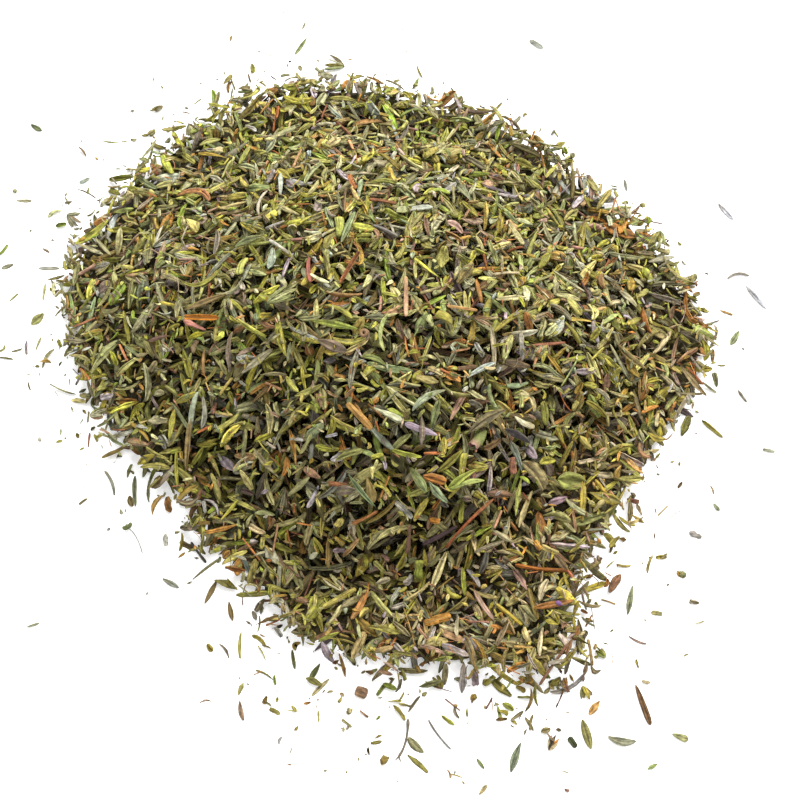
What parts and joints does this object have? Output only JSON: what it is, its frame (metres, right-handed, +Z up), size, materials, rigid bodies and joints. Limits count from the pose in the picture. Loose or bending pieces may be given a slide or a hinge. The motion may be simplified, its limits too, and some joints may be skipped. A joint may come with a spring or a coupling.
{
  "type": "heap of dried thyme leaves",
  "caption": "Low rounded heap of loose dried thyme, with a thin spill in front and stray leaves and stalk bits lying round it on the surface.",
  "frame": {"origin": "in the middle of the heap's flat underside, on the surface that it lies on", "axes": "+Z up, -Y towards the spill at the heap's front, +X to the right seen from the front"},
  "size_m": [0.1404, 0.1441, 0.0309],
  "materials": {
    "heap_leaf": "dry matt, slightly waxy",
    "yellow_leaf": "dry matt, slightly waxy",
    "mauve_leaf": "dry matt, slightly waxy",
    "brown_leaf": "dry matt, slightly waxy",
    "lilac_petal": "dry matt, slightly waxy",
    "sage_leaf": "dry matt, slightly waxy",
    "orange_leaf": "dry matt, slightly waxy",
    "green_leaf": "dry matt, slightly waxy",
    "olive_leaf": "dry matt, slightly waxy",
    "tan_stalk": "dry matt, woody",
    "orange_stalk": "dry matt, woody",
    "red_stalk": "dry matt, woody",
    "purple_stalk": "dry matt, woody",
    "straw_stalk": "dry matt, woody",
    "olive_stalk": "dry matt, woody",
    "brown_stalk": "dry matt, woody"
  },
  "bodies": {
    "root": {"thyme_heap": "heap_leaf", "bright_leaf": "yellow_leaf", "mauve_leaf": "mauve_leaf", "flower_head": "brown_leaf", "lilac_petal": "lilac_petal", "pink_calyx": "sage_leaf", "rust_leaf": "orange_leaf", "pair_leaf_upper": "yellow_leaf", "pair_leaf_lower": "green_leaf", "oval_leaf": "sage_leaf", "orange_leaf_front": "orange_leaf", "long_brown_leaf": "brown_leaf", "orange_leaf_left": "orange_leaf", "brown_leaf_left": "brown_leaf", "curled_leaf": "olive_leaf", "brown_curl": "brown_leaf", "sprig_tip": "green_leaf", "tan_stalk": "tan_stalk", "ochre_stalk": "orange_stalk", "orange_stalk": "orange_stalk", "red_stalk": "red_stalk", "purple_stalk": "purple_stalk", "rust_stalk": "red_stalk", "straw_stalk": "straw_stalk", "pale_stalk": "straw_stalk", "stray_needle_brown": "brown_leaf", "stray_oval_pale": "sage_leaf", "stray_leaf_curved": "sage_leaf", "stray_leaf_oval": "green_leaf", "stray_chip_dark": "olive_leaf", "stray_leaf_front": "green_leaf", "stray_leaf_small": "green_leaf", "stray_leaf_right": "green_leaf", "stray_cup": "brown_leaf", "stray_leaf_orange": "orange_leaf", "stray_leaf_tall": "green_leaf", "stray_leaf_bottom": "green_leaf", "stray_chip_brown": "brown_leaf", "stray_leaf_low_left": "sage_leaf", "stray_leaf_lean": "brown_leaf", "stray_leaf_upright": "olive_leaf", "stray_leaf_pale_left": "sage_leaf", "flower_stalk": "olive_stalk", "stray_leaf_left": "olive_leaf", "stray_chip_left": "olive_leaf", "stray_needle_far_left": "sage_leaf", "stray_leaf_right_front": "sage_leaf", "stray_chip_right": "green_leaf", "stray_needle_right": "sage_leaf", "stray_needle_back_right": "sage_leaf", "stray_leaf_rim_right": "green_leaf", "stray_leaf_back": "sage_leaf", "stray_leaf_back_left": "green_leaf", "stray_leaf_far_left": "green_leaf", "stray_leaf_left_back": "green_leaf", "stray_chip_far_left": "olive_leaf", "stray_stalk_thin": "olive_stalk", "stray_stalk_bent": "olive_stalk", "stray_stalk_left": "olive_stalk", "stray_stalk_right": "brown_stalk"}
  },
  "joints": []
}
